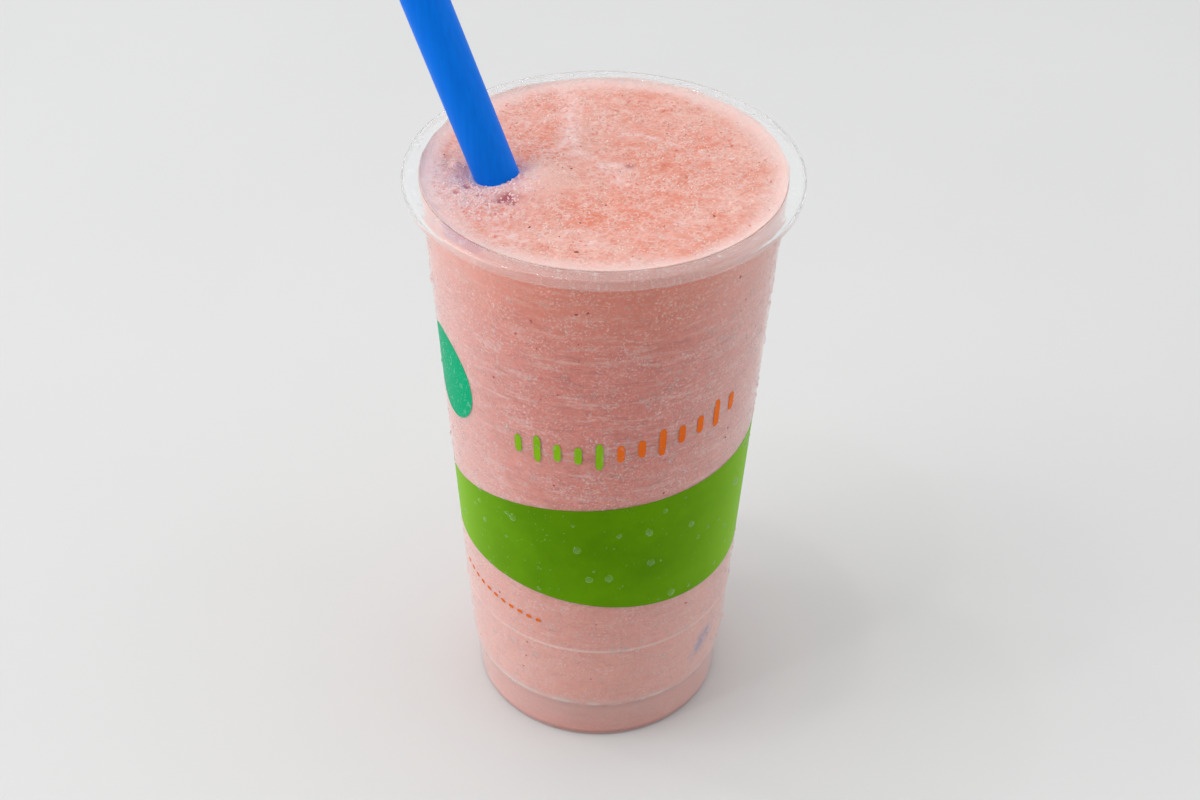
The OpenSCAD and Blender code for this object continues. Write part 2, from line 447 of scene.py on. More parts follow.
def ink_patch(name, columns, closed, material):
    """A thin solid field of ink: columns of (turn, height) pairs, all of one length."""
    count, rows = len(columns), len(columns[0])
    outer = [wall_point(t, h, ink_out) for column in columns for t, h in column]
    inner = [wall_point(t, h, -ink_in) for column in columns for t, h in column]
    shift = len(outer)
    faces = []
    for c in range(count if closed else count - 1):
        a, b = c * rows, (c + 1) % count * rows
        for r in range(rows - 1):
            faces.append((a + r, b + r, b + r + 1, a + r + 1))
            faces.append((shift + a + r + 1, shift + b + r + 1, shift + b + r, shift + a + r))
        faces.append((shift + a, shift + b, b, a))
        top_a, top_b = a + rows - 1, b + rows - 1
        faces.append((top_a, top_b, shift + top_b, shift + top_a))
    if not closed:
        last = (count - 1) * rows
        for r in range(rows - 1):
            faces.append((r, r + 1, shift + r + 1, shift + r))
            faces.append((last + r + 1, last + r, shift + last + r, shift + last + r + 1))
    return make_piece(name, outer + inner, faces, material)


green_ink = ink_shader("ink_green", linear(84, 134, 0), linear(98, 152, 2), linear(136, 192, 34), 0.4)
band_columns = []


def band_edge(waves, turn):
    """Height of an edge of the band: a mean and two waves round the cup."""
    mean, a, b, c, d = waves
    return mean + a * np.cos(turn) - b * np.sin(turn) - c * np.sin(2 * turn) - d * np.cos(2 * turn)


for step in range(band_sides):
    turn = 2 * math.pi * step / band_sides
    low = band_edge(band_bottom, turn)
    high = band_edge(band_top, turn)
    band_columns.append([(turn, low + (high - low) * r / (band_rows - 1)) for r in range(band_rows)])
band = ink_patch("print_band", band_columns, True, green_ink)
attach(band, "root")


def disc_columns(turn, height, half_width, half_height):
    """Columns that fill an upright oval on the wall."""
    count, rows = 33, 9
    columns = []
    for step in range(count):
        across = -math.cos(math.pi * (0.02 + 0.96 * step / (count - 1)))
        reach = half_height * math.sqrt(1 - across * across)
        swing = half_width * across / wall_radius(height)
        columns.append([(turn + swing, height + reach * (2 * r / (rows - 1) - 1)) for r in range(rows)])
    return columns


teal_ink = ink_shader("ink_teal", linear(0, 172, 120), linear(0, 186, 130), linear(0, 172, 122), 0.4)
spot = ink_patch("print_spot", disc_columns(spot_turn, spot_height, spot_radius, spot_radius),
                 False, teal_ink)
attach(spot, "root")


def ink_stroke(path, width):
    """Columns across a stroke of one width that follows a path of (turn, height) points."""
    columns = []
    for k, (turn, height) in enumerate(path):
        before, after = path[max(k - 1, 0)], path[min(k + 1, len(path) - 1)]
        along = (after[0] - before[0]) * wall_radius(height)
        up = after[1] - before[1]
        length = math.hypot(along, up)
        end = min(k, len(path) - 1 - k)
        half = width / 2 * math.sqrt(1 - (1 - min(end, 3) / 3) ** 2 * 0.8)
        swing, rise = up / length * half, along / length * half
        columns.append([(turn - swing * s / wall_radius(height), height + rise * s) for s in (-1, 0, 1)])
    return columns


light_lime = linear(146, 196, 34)
light_orange = linear(240, 120, 40)
lime_ink = ink_shader("ink_lime", linear(128, 182, 18), light_lime, light_lime, 0.45)
orange_ink = ink_shader("ink_orange", linear(232, 104, 28), light_orange, light_orange, 0.45)
for number in range(12):
    turn = math.radians(-119 + 7.2 * number)
    middle = 0.1085 + 0.0009 * max(0, number - 4)
    reach = 0.0042 if number % 3 == 1 else 0.0027
    path = [(turn, middle + reach * (k / 6 - 1)) for k in range(13)]
    upright = ink_patch(f"print_upright_{number + 1:02d}", ink_stroke(path, 0.0018), False,
                        lime_ink if number < 5 else orange_ink)
    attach(upright, "root")
for number in range(11):
    turn = math.radians(-160 + 4.4 * number)
    height = 0.0478 - 0.0002 * number
    path = [(turn + math.radians(0.3 * k), height) for k in range(9)]
    dash = ink_patch(f"print_dash_{number + 1:02d}", ink_stroke(path, 0.0012), False, orange_ink)
    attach(dash, "root")

# ---------------------------------------------------------------------------
# The drink: blended fruit and ice, thick enough to hold a mound beside the straw and a crease behind
# it. It fills the cup to just under the rim and wets the wall, so its skin lies in the plastic.

drink_level = cup_height - 0.0013
drink_depth = 0.00025
drink_sides = 440
surface_rings = 135
side_rows = 56
straw_radius = 0.0053
straw_foot_inset = 0.01695
straw_foot_turn = math.radians(181.2)
straw_foot = Vector((
    (wall_radius(drink_level, plastic) - straw_foot_inset) * math.cos(straw_foot_turn),
    (wall_radius(drink_level, plastic) - straw_foot_inset) * math.sin(straw_foot_turn), 0))
mound_height = 0.0019
mound_place = straw_foot + 0.011 * Vector((math.cos(math.radians(-27)), math.sin(math.radians(-27)), 0))
mound_spread = 0.006
crease_turn = math.radians(29)
crease_reach = 0.007
crease_soft = 0.0009
edge_band = 0.006
surface_pits = [(-0.0318, -0.0066, 0.0006, 0.0006), (-0.0343, -0.0104, 0.0004, 0.0005),
                (-0.0218, -0.0126, 0.0008, 0.0011), (-0.0238, -0.0140, 0.0005, 0.0007),
                (-0.0206, -0.0153, 0.0004, 0.0006), (-0.0284, -0.0113, 0.0004, 0.0006),
                (-0.0377, -0.0175, 0.0003, 0.0009), (0.0060, 0.0020, 0.0004, 0.0008)]


def lattice_noise(x, y, size, seed):
    """Smooth noise of -1 to 1 with lumps of about the given size."""
    chance = np.random.RandomState(seed)
    grid = chance.uniform(-1, 1, (256, 256))
    u, v = x / size + 100.0, y / size + 100.0
    i, j = np.floor(u).astype(int), np.floor(v).astype(int)
    s, t = u - i, v - j
    s, t = s * s * (3 - 2 * s), t * t * (3 - 2 * t)
    a, b = grid[i % 256, j % 256], grid[(i + 1) % 256, j % 256]
    c, d = grid[i % 256, (j + 1) % 256], grid[(i + 1) % 256, (j + 1) % 256]
    return (a * (1 - s) + b * s) * (1 - t) + (c * (1 - s) + d * s) * t


def hump(x, y, place, spread):
    """A smooth hump of height 1 about a place."""
    return np.exp(-((x - place.x) ** 2 + (y - place.y) ** 2) / (2 * spread ** 2))


def surface_height(x, y):
    """Height of the drink's surface above its level edge."""
    across = -math.sin(crease_turn) * (x - mound_place.x) + math.cos(crease_turn) * (y - mound_place.y)
    wander = 0.0007 * lattice_noise(x, y, 0.004, 3)
    front = 1 / (1 + np.exp((across + wander - crease_reach) / crease_soft))
    height = mound_height * hump(x, y, mound_place, mound_spread) * front
    height -= 0.0026 * hump(x, y, straw_foot, 0.005)
    height += 0.00035 * lattice_noise(x, y, 0.017, 5)
    rough = 0.35 + 0.65 * (1 - hump(x, y, mound_place, mound_spread))
    straw_near = np.maximum(np.hypot((x - straw_foot.x) * 0.95, y - straw_foot.y) - straw_radius, 0)
    rough = rough * (1 - 0.85 * np.exp(-(straw_near / 0.0012) ** 2))
    height += 0.00020 * lattice_noise(x, y, 0.0034, 7) * rough
    height += 0.00016 * lattice_noise(x, y, 0.0016, 9) * rough
    height += 0.00012 * lattice_noise(x, y, 0.0009, 11) * rough
    for px, py, deep, wide in surface_pits:
        height -= deep * hump(x, y, Vector((px, py, 0)), wide)
    inside = np.clip((surface_edge - np.hypot(x, y)) / edge_band, 0, 1)
    return height * inside * inside * (3 - 2 * inside)


surface_edge = wall_radius(drink_level, drink_depth)
slope_shift = drink_depth * (1 - math.sin(floor_slope)) / math.cos(floor_slope)
ring_outer = belt_radius - foot_round
ring_inner = ring_outer - ring_width
side_profile = [(ring_inner - floor_raise * math.tan(floor_slope) + slope_shift, floor_raise + drink_depth),
                (ring_inner + slope_shift, drink_depth)]
for step in range(7):
    a = math.radians(-90 + 15 * step)
    side_profile.append((ring_outer + (foot_round - drink_depth) * math.cos(a),
                         foot_round + (foot_round - drink_depth) * math.sin(a)))
side_profile.append((belt_radius + belt_draft - drink_depth, belt_height))
for row in range(side_rows + 1):
    height = step_top_height + (drink_level - step_top_height) * row / side_rows
    side_profile.append((wall_radius(height, drink_depth), height))

turns = 2 * np.pi * np.arange(drink_sides) / drink_sides
drink_points = []
for radius, height in side_profile:
    drink_points.append(np.column_stack(
        [radius * np.cos(turns), radius * np.sin(turns), np.full(drink_sides, height)]))

# froth wets the round of the lip, higher in some places than in others
climb_marks = np.append(np.random.RandomState(15).uniform(-1, 1, 60), 0)
climb_noise = np.interp(turns, np.linspace(0, 2 * np.pi, 61), climb_marks)
climb_edge = wall_top_radius + 0.00015 + 0.00022 * climb_noise
climb_angle = np.arccos((lip_centre[0] - climb_edge) / lip_round)
in_lip = lip_round - drink_depth
out_of_lip = lip_round + 0.00006
for share, reach in ((0.35, in_lip), (0.7, in_lip), (1.0, in_lip), (1.0, out_of_lip)):
    radius = lip_centre[0] - reach * np.cos(climb_angle * share)
    height = lip_centre[1] + reach * np.sin(climb_angle * share)
    drink_points.append(np.column_stack([radius * np.cos(turns), radius * np.sin(turns), height]))
froth_rise = drink_points[-1][:, 2] - drink_level
froth_edge = np.hypot(drink_points[-1][:, 0], drink_points[-1][:, 1])
for ring in range(1, surface_rings):
    radius = froth_edge * (1 - ring / surface_rings)
    x, y = radius * np.cos(turns), radius * np.sin(turns)
    height = surface_height(x, y) + froth_rise * np.exp(-(froth_edge - radius) / 0.0009)
    drink_points.append(np.column_stack([x, y, drink_level + height]))
drink_ring_count = len(drink_points)
middle = surface_height(np.zeros(1), np.zeros(1))[0]
drink_points.append(np.array([[0, 0, floor_raise + drink_depth], [0, 0, drink_level + middle]]))
drink_points = np.vstack(drink_points)
floor_middle = drink_ring_count * drink_sides
drink_faces = []
for k in range(drink_ring_count - 1):
    for i in range(drink_sides):
        j = (i + 1) % drink_sides
        a, b = k * drink_sides, (k + 1) * drink_sides
        drink_faces.append((a + i, a + j, b + j, b + i))
top_ring = (drink_ring_count - 1) * drink_sides
for i in range(drink_sides):
    j = (i + 1) % drink_sides
    drink_faces.append((floor_middle, j, i))
    drink_faces.append((floor_middle + 1, top_ring + i, top_ring + j))


def mask_layer(piece, name, values):
    """Stores one number for each point of a piece, for its shader to read."""
    layer = piece.data.attributes.new(name, "FLOAT", "POINT")
    layer.data.foreach_set("value", values.astype(np.float32))


def streak(x, y, start, end, width):
    """1 along the line from start to end, falling off over the width."""
    sx, sy = start
    dx, dy = end[0] - sx, end[1] - sy
    along = np.clip(((x - sx) * dx + (y - sy) * dy) / (dx * dx + dy * dy), 0, 1)
    gap = np.hypot(x - sx - along * dx, y - sy - along * dy)
    return np.exp(-(gap / width) ** 2)


px, py = drink_points[:, 0], drink_points[:, 1]
torn = 0.5 + 0.5 * lattice_noise(px, py, 0.0022, 21) * 0.6 + 0.25 * lattice_noise(px, py, 0.001, 22)
foam = (
    1.0 * hump(px, py, Vector((-0.0390, -0.0050, 0)), 0.0090)
    + 0.8 * hump(px, py, straw_foot + Vector((0.001, -0.006, 0)), 0.0045)
    + 0.75 * hump(px, py, straw_foot + Vector((-0.009, -0.007, 0)), 0.005)
    + 0.6 * hump(px, py, straw_foot + Vector((-0.001, -0.020, 0)), 0.006)
    + 0.8 * streak(px, py, (-0.0088, 0.036), (-0.0078, 0.014), 0.0024)
    + 0.7 * streak(px, py, (-0.0078, 0.014), (-0.0135, 0.0075), 0.0018)
    + 0.6 * streak(px, py, (-0.0065, 0.008), (0.003, 0.001), 0.0022)
    + 0.6 * streak(px, py, (0.001, 0.000), (0.007, -0.008), 0.0026)
    + 0.6 * streak(px, py, (0.004, 0.0165), (0.012, 0.0155), 0.0013)
    + 0.5 * streak(px, py, (0.012, 0.0150), (0.026, 0.006), 0.0012)
    + 0.55 * streak(px, py, (-0.0229, -0.0282), (-0.0006, -0.0308), 0.0016)
    + 0.35 * streak(px, py, (-0.010, -0.026), (0.014, -0.028), 0.0013)
    + 0.35 * streak(px, py, (0.014, -0.0255), (0.028, -0.014), 0.0018)
    + 0.5 * streak(px, py, (-0.0185, -0.0009), (-0.0165, -0.010), 0.0022)
)
fruit = (
    0.95 * hump(px, py, Vector((-0.0050, -0.0175, 0)), 0.0042)
    + 0.6 * hump(px, py, Vector((0.0010, -0.0200, 0)), 0.0045)
    + 0.75 * streak(px, py, (-0.0205, 0.0085), (-0.0125, 0.0090), 0.0026)
    + 0.6 * hump(px, py, Vector((-0.0144, 0.0164, 0)), 0.0045)
    + 0.6 * hump(px, py, Vector((-0.0294, -0.0202, 0)), 0.0035)
    + 0.45 * hump(px, py, Vector((-0.0364, 0.0087, 0)), 0.005)
    + 0.6 * hump(px, py, Vector((0.0089, 0.0310, 0)), 0.0065)
    + 0.9 * streak(px, py, (0.0215, 0.0110), (0.0260, 0.0115), 0.0012)
    + 0.5 * hump(px, py, Vector((0.020, 0.002, 0)), 0.009)
    + 0.45 * hump(px, py, Vector((0.014, -0.016, 0)), 0.008)
    + 0.8 * hump(px, py, Vector((0.0250, -0.0196, 0)), 0.0016)
    + 0.7 * streak(px, py, (-0.0183, 0.0055), (-0.0094, 0.0094), 0.0011)
    + 0.5 * streak(px, py, (-0.0260, -0.0165), (-0.0200, -0.0190), 0.0018)
    + 0.45 * hump(px, py, Vector((0.006, 0.004, 0)), 0.011)
    + 0.4 * hump(px, py, Vector((0.010, -0.029, 0)), 0.010)
    + 0.6 * hump(px, py, Vector((-0.029, -0.0210, 0)), 0.006)
)
fruit *= 0.75 + 0.45 * lattice_noise(px, py, 0.0025, 25)
# the top of the mound is painted paler: partly its own calmer froth, partly a painted highlight where the
# swelling faces the light
calm_lit_mound = hump(px, py, Vector((-0.0150, -0.0045, 0)), 0.0055)
edge_gap = np.interp(np.arctan2(py, px) % (2 * np.pi), turns, froth_edge) - np.hypot(px, py)
rim_froth = np.clip(1 - edge_gap / (0.0056 + 0.0020 * lattice_noise(px, py, 0.009, 24)), 0, 1)
straw_gap = np.hypot((px - straw_foot.x) * 0.95, py - straw_foot.y) - straw_radius
# painted light: a lilac tint round the foot of the straw stands in for blue light thrown onto the froth by
# the straw
straw_blue_bounce = np.exp(-((straw_gap - 0.0012) / 0.0018) ** 2)
straw_blue_bounce += 0.6 * hump(px, py, straw_foot + Vector((-0.001, -0.008, 0)), 0.006)
straw_ring_froth = np.exp(-((straw_gap - 0.0001) / 0.00045) ** 2)
# painted shade: the pits in the top, and a cluster of small spots beside them, are painted dark purple-red
# as shade in hollows
pit_painted_shade = np.zeros(len(px))
for x, y, deep, wide in surface_pits:
    pit_painted_shade += min(1.0, deep / 0.0005) * hump(px, py, Vector((x, y, 0)), wide)
pit_cluster = hump(px, py, Vector((-0.0222, -0.0136, 0)), 0.0024)
pit_painted_shade += 0.5 * pit_cluster * (0.5 + lattice_noise(px, py, 0.0012, 26))

drink = Shader("blended_drink")
drink_spot = drink.add("TexCoord")
drink_facing = drink.add("NewGeometry")
facing_split = drink.add("SeparateXYZ", in_Vector=drink_facing.outputs["Normal"])
is_top = drink.smooth(facing_split.outputs["Z"], 0.35, 0.65)


def noise_mask(shader, source, scale, detail, low, high, roughness=0.55, stretch=None, distortion=0.0):
    """Noise from source, stretched if asked, cut to a mask between two levels."""
    if stretch:
        source = shader.add("Mapping", in_Vector=source, in_Scale=stretch).outputs["Vector"]
    noise = shader.add("TexNoise", in_Vector=source, in_Scale=scale, in_Detail=detail,
                       in_Roughness=roughness, in_Distortion=distortion)
    return shader.smooth(noise.outputs["Fac"], low, high)


def blend_in(shader, base, colour, mask, strength=1.0):
    """base with a colour laid over it where the mask is; each colour is given or comes from a node."""
    share = shader.add("Math", operation="MULTIPLY", use_clamp=True, in_0=mask, in_1=strength)
    mix = shader.add("Mix", data_type="RGBA", in_0=share.outputs["Value"], in_6=base, in_7=colour)
    return mix.outputs[2]


def times(shader, a, b):
    """The product of two masks."""
    return shader.add("Math", operation="MULTIPLY", in_0=a, in_1=b).outputs["Value"]


drink_place = drink_spot.outputs["Object"]
foam_mask = drink.add("Attribute", attribute_name="foam").outputs["Fac"]
fruit_mask = drink.add("Attribute", attribute_name="fruit").outputs["Fac"]
edge_mask = drink.add("Attribute", attribute_name="rim_froth").outputs["Fac"]
straw_blue_bounce_mask = drink.add("Attribute", attribute_name="straw_blue_bounce").outputs["Fac"]
pit_painted_shade_mask = drink.add("Attribute", attribute_name="pit_painted_shade").outputs["Fac"]
calm_lit_mound_mask = drink.add("Attribute", attribute_name="calm_lit_mound").outputs["Fac"]
outline_mask = drink.add("Attribute", attribute_name="straw_outline").outputs["Fac"]

broad_patches = noise_mask(drink, drink_place, 85, 5, 0.42, 0.62, 0.62, distortion=0.6)
fine_patches = noise_mask(drink, drink_place, 330, 7, 0.44, 0.60, 0.75)
fine_grain = noise_mask(drink, drink_place, 1150, 5, 0.47, 0.60, 0.7, stretch=(0.6, 1, 1))
pale_flecks = noise_mask(drink, drink_place, 1500, 4, 0.54, 0.64, 0.6, stretch=(0.55, 1, 1))
pale_clouds = noise_mask(drink, drink_place, 210, 6, 0.48, 0.68, 0.7, distortion=0.8)
torn_foam = noise_mask(drink, drink_place, 700, 6, 0.36, 0.56, 0.7)

# thin pale ridges of ice crystals make a torn network over the top
network_warp = drink.add("TexNoise", in_Scale=700.0, in_Detail=3.0, in_Roughness=0.6,
                         in_Vector=drink_place)
network_place = drink.add("VectorMath", operation="MULTIPLY_ADD", in_1=(0.0022, 0.0022, 0.0022),
                          in_0=network_warp.outputs["Color"], in_2=drink_place)
network_cells = drink.add("TexVoronoi", feature="DISTANCE_TO_EDGE", in_Scale=640.0, in_Randomness=1.0,
                          in_Vector=network_place.outputs["Vector"])
network = drink.smooth(network_cells.outputs["Distance"], 0.17, 0.02)
network_kept = noise_mask(drink, drink_place, 260, 4, 0.36, 0.60, 0.6)
ridges = times(drink, network, network_kept)

top_colour = (0.82, 0.42, 0.34, 1)
for colour, mask, strength in (
    ((0.75, 0.26, 0.18, 1), broad_patches, 0.6),
    ((0.70, 0.22, 0.16, 1), fine_patches, 0.5),
    ((0.90, 0.57, 0.51, 1), pale_clouds, 0.4),
    ((0.74, 0.19, 0.10, 1), fruit_mask, 0.9),
    ((0.66, 0.23, 0.18, 1), fine_grain, 0.25),
    ((0.92, 0.64, 0.59, 1), ridges, 0.55),
    ((0.93, 0.70, 0.65, 1), pale_flecks, 0.35),
    # calmer froth and painted highlight on the mound
    ((0.86, 0.52, 0.45, 1), calm_lit_mound_mask, 0.7),
    ((0.92, 0.71, 0.70, 1), times(drink, foam_mask, torn_foam), 0.95),
    # painted blue bounce light from the straw
    ((0.70, 0.31, 0.34, 1), straw_blue_bounce_mask, 0.65),
    # painted shade in the pits
    ((0.40, 0.07, 0.10, 1), pit_painted_shade_mask, 0.9),
    ((0.90, 0.70, 0.74, 1), outline_mask, 0.75),
    ((0.90, 0.70, 0.67, 1), edge_mask, 0.85),
):
    top_colour = blend_in(drink, top_colour, colour, mask, strength)


def height_line(shader, height, middle, half_width):
    """1 at one height of the wall, falling off above and below."""
    gap = shader.add("Math", operation="SUBTRACT", in_0=height, in_1=middle)
    size = shader.add("Math", operation="ABSOLUTE", in_0=gap.outputs["Value"])
    return shader.smooth(size.outputs["Value"], half_width, half_width * 0.3)


side_fine = noise_mask(drink, drink_place, 620, 6, 0.42, 0.62, 0.75)
side_grain = noise_mask(drink, drink_place, 1700, 4, 0.54, 0.62, 0.6)
side_clusters = noise_mask(drink, drink_place, 120, 4, 0.30, 0.60, 0.6)
pale_wisps = noise_mask(drink, drink_place, 85, 7, 0.50, 0.62, 0.72, stretch=(1, 1, 7), distortion=0.6)
dark_wisps = noise_mask(drink, drink_place, 120, 7, 0.51, 0.64, 0.72, stretch=(1, 1, 6), distortion=0.7)
side_split = drink.add("SeparateXYZ", in_Vector=drink_place)
side_height = side_split.outputs["Z"]
under_rim = drink.smooth(side_height, 0.132, 0.158)
near_foot = drink.smooth(side_height, 0.120, 0.010)
away_from_foot = drink.add("MapRange", in_From_Min=0.0, in_From_Max=1.0, in_To_Min=1.0, in_To_Max=0.35,
                           in_Value=near_foot)
calm_dark_wisps = times(drink, dark_wisps, away_from_foot.outputs["Result"])
calm_side_fine = times(drink, side_fine, away_from_foot.outputs["Result"])
# painted light at the foot: the belt is painted darker as shade, with a darker line of painted shade under
# the step; broken pale lines at the step and at the stacking bead are painted highlights, and the dark line
# at the very foot is a painted contact shadow
belt_painted_shade = drink.smooth(side_height, 0.0142, 0.0118)
broken_line = noise_mask(drink, drink_place, 110, 3, 0.42, 0.56, 0.6)
step_painted_highlight = times(drink, height_line(drink, side_height, 0.0146, 0.0012), broken_line)
calm_pale_wisps = times(drink, pale_wisps, away_from_foot.outputs["Result"])
grain_clusters = times(drink, side_grain, side_clusters)
bead_painted_highlight = height_line(drink, side_height, 0.0370, 0.0007)
under_step_painted_shade = height_line(drink, side_height, 0.0126, 0.0016)
foot_line_shade = height_line(drink, side_height, 0.0005, 0.0022)
side_colour = (0.87, 0.31, 0.25, 1)
for colour, mask, strength in (
    ((0.99, 0.51, 0.42, 1), near_foot, 0.8),
    ((0.96, 0.66, 0.61, 1), calm_pale_wisps, 0.65),
    ((0.62, 0.19, 0.15, 1), calm_dark_wisps, 0.65),
    ((0.66, 0.21, 0.17, 1), calm_side_fine, 0.45),
    ((0.90, 0.31, 0.20, 1), under_rim, 0.6),
    ((0.98, 0.78, 0.74, 1), grain_clusters, 0.7),
    # painted highlights at the bead and the step, painted shade in the belt, under the step and at the foot
    ((0.98, 0.72, 0.66, 1), bead_painted_highlight, 0.5),
    ((0.76, 0.29, 0.23, 1), belt_painted_shade, 0.4),
    ((1.0, 0.84, 0.80, 1), step_painted_highlight, 0.8),
    ((0.55, 0.17, 0.14, 1), under_step_painted_shade, 0.25),
    ((0.45, 0.12, 0.10, 1), foot_line_shade, 0.7),
):
    side_colour = blend_in(drink, side_colour, colour, mask, strength)

# the blue of the straw's lower end shows faintly through the drink where it stands by the wall
streak_spot = drink.add("Mapping", vector_type="TEXTURE", in_Location=(0.0300, -0.0226, 0.0268),
                        in_Scale=(0.0052, 0.0052, 0.0110),
                        in_Rotation=Vector((0.41, 0.47, 0.78)).to_track_quat("Z", "Y").to_euler(),
                        in_Vector=drink_place)
streak_ball = drink.add("TexGradient", gradient_type="SPHERICAL",
                        in_Vector=streak_spot.outputs["Vector"])
streak_soft = drink.smooth(streak_ball.outputs["Fac"], 0.0, 0.75)
streak_torn = noise_mask(drink, drink_place, 330, 5, 0.34, 0.66, 0.7)
blue_streak = times(drink, streak_soft, streak_torn)
side_colour = blend_in(drink, side_colour, (0.05, 0.13, 0.42, 1), blue_streak, 0.9)

# painted sheen: the wall's colour is made paler where it turns away, in place of the whitish gleam of the
# dewy wall
turned_away = drink.add("LayerWeight", in_Blend=0.5)
wall_painted_sheen = drink.smooth(turned_away.outputs["Facing"], 0.10, 0.26)
side_colour = blend_in(drink, side_colour, (0.97, 0.78, 0.76, 1), wall_painted_sheen, 0.42)

whole_colour = blend_in(drink, side_colour, top_colour, is_top)
drink.set(Base_Color=whole_colour)

grain_relief = drink.add("TexNoise", in_Scale=1300.0, in_Detail=4.0, in_Roughness=0.65,
                         in_Vector=drink_place)
relief_sum = drink.add("Math", operation="MULTIPLY_ADD", in_0=ridges, in_1=0.5,
                       in_2=grain_relief.outputs["Fac"])
drink_bump = drink.add("Bump", in_Strength=0.6, in_Distance=0.0003, in_Height=relief_sum.outputs["Value"])
drink.set(Normal=drink_bump.outputs["Normal"])
drink.set(Roughness=0.42, Specular_IOR_Level=0.3, Subsurface_Weight=0.35, Subsurface_Scale=0.002)
drink.set(Sheen_Weight=0.35, Sheen_Roughness=0.45, Sheen_Tint=(1.0, 0.9, 0.88, 1))
drink.set(Subsurface_Radius=(1.0, 0.45, 0.35))

smoothie = make_piece("smoothie_body", drink_points, drink_faces, drink.material)
for name, values in (("foam", foam * np.clip(torn, 0.25, 1) * 1.25), ("fruit", fruit), ("straw_blue_bounce", straw_blue_bounce),
                     ("rim_froth", rim_froth ** 0.8), ("straw_outline", straw_ring_froth),
                     ("calm_lit_mound", calm_lit_mound), ("pit_painted_shade", pit_painted_shade)):
    mask_layer(smoothie, name, np.clip(values, 0, 1))
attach(smoothie, "root")
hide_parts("smoothie")

# ---------------------------------------------------------------------------
# The straw: a wide extruded tube of blue plastic, satin from the die, cut square at its mouth and
# slantwise at its lower end. It stands in the drink and leans back to the left.

straw_blue = Shader("straw_blue")
straw_place = straw_blue.add("TexCoord")
straw_stretch = straw_blue.add("Mapping", in_Scale=(1, 1, 0.04),
                               in_Vector=straw_place.outputs["Object"])
straw_lines = straw_blue.add("TexNoise", in_Scale=900.0, in_Detail=3.0,
                             in_Vector=straw_stretch.outputs["Vector"])
straw_tone = straw_blue.ramp(straw_lines.outputs["Fac"], 0.3, (0.0, 0.175, 0.84, 1),
                             0.7, (0.0, 0.20, 0.92, 1))
straw_bump = straw_blue.add("Bump", in_Strength=0.15, in_Distance=0.0001,
                            in_Height=straw_lines.outputs["Fac"])
straw_blue.set(Base_Color=straw_tone, Normal=straw_bump.outputs["Normal"])
straw_blue.set(Roughness=0.4, Specular_IOR_Level=0.07)
straw_wall = 0.00035
straw_sides = 96
straw_lean = math.radians(20.71)
straw_turn = math.radians(161.45)
cut_angle = math.radians(50)
cut_turn = math.radians(-125.6)
straw_axis = Vector((math.sin(straw_lean) * math.cos(straw_turn),
                     math.sin(straw_lean) * math.sin(straw_turn), math.cos(straw_lean)))
straw_low, straw_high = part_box("straw")
straw_top = Vector((straw_low.x + straw_radius * math.sqrt(1 - straw_axis.x ** 2),
                    straw_high.y - straw_radius * math.sqrt(1 - straw_axis.y ** 2),
                    straw_high.z - straw_radius * math.sqrt(1 - straw_axis.z ** 2)))
straw_reach = 0.2037
cut_side = Vector((math.cos(cut_turn), math.sin(cut_turn), 0))
cut_side = (cut_side - straw_axis * cut_side.dot(straw_axis)).normalized()
cut_across = straw_axis.cross(cut_side)


def straw_ring(radius, along, slant):
    """A ring of the tube; along is measured down from the mouth."""
    ring = []
    for k in range(straw_sides):
        a = 2 * math.pi * k / straw_sides
        drop = along + slant * radius * math.tan(cut_angle) * math.cos(a)
        outward = math.cos(a) * cut_side + math.sin(a) * cut_across
        ring.append(straw_top - straw_axis * drop + radius * outward)
    return ring


inside = straw_radius - straw_wall
edge_soft = 0.0001
straw_rings = [straw_ring(straw_radius, straw_reach, 1)]
straw_rings += [straw_ring(straw_radius, straw_reach * s, 0) for s in (0.9, 0.6, 0.4, 0.2, 0.02)]
straw_rings += [straw_ring(straw_radius, edge_soft, 0), straw_ring(straw_radius - edge_soft, 0, 0)]
straw_rings += [straw_ring(inside + edge_soft, 0, 0), straw_ring(inside, edge_soft, 0)]
straw_rings += [straw_ring(inside, straw_reach * s, 0) for s in (0.02, 0.2, 0.4, 0.6, 0.9)]
straw_rings += [straw_ring(inside, straw_reach, 1)]
straw_faces = []
for k in range(len(straw_rings)):
    a, b = k * straw_sides, (k + 1) % len(straw_rings) * straw_sides
    for i in range(straw_sides):
        j = (i + 1) % straw_sides
        straw_faces.append((a + i, b + i, b + j, a + j))
straw_points = [point for ring in straw_rings for point in ring]
straw = make_piece("straw_tube", straw_points, straw_faces, straw_blue.material)
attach(straw, "root")
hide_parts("straw")

# ---------------------------------------------------------------------------
# Ice and froth on the drink: fine crushed-ice grains and pulp flakes lie half sunk in the surface, and
# tiny bubbles crowd round the foot of the straw.

chance = np.random.RandomState(41)
full_turn = 6.28


def ball_mesh(bands, sides):
    """Points and triangles of a closed unit ball."""
    points = [(0, 0, -1)]
    for band in range(1, bands):
        a = -math.pi / 2 + math.pi * band / bands
        for side in range(sides):
            t = 2 * math.pi * (side + 0.5 * (band % 2)) / sides
            points.append((math.cos(a) * math.cos(t), math.cos(a) * math.sin(t), math.sin(a)))
    points.append((0, 0, 1))
    faces = []
    for side in range(sides):
        after = (side + 1) % sides
        faces.append((0, 1 + after, 1 + side))
        faces.append((len(points) - 1, len(points) - 1 - sides + side, len(points) - 1 - sides + after))
    for band in range(bands - 2):
        a, b = 1 + band * sides, 1 + (band + 1) * sides
        for side in range(sides):
            after = (side + 1) % sides
            faces.append((a + side, a + after, b + side))
            faces.append((a + after, b + after, b + side))
    return np.array(points, dtype=float), np.array(faces)


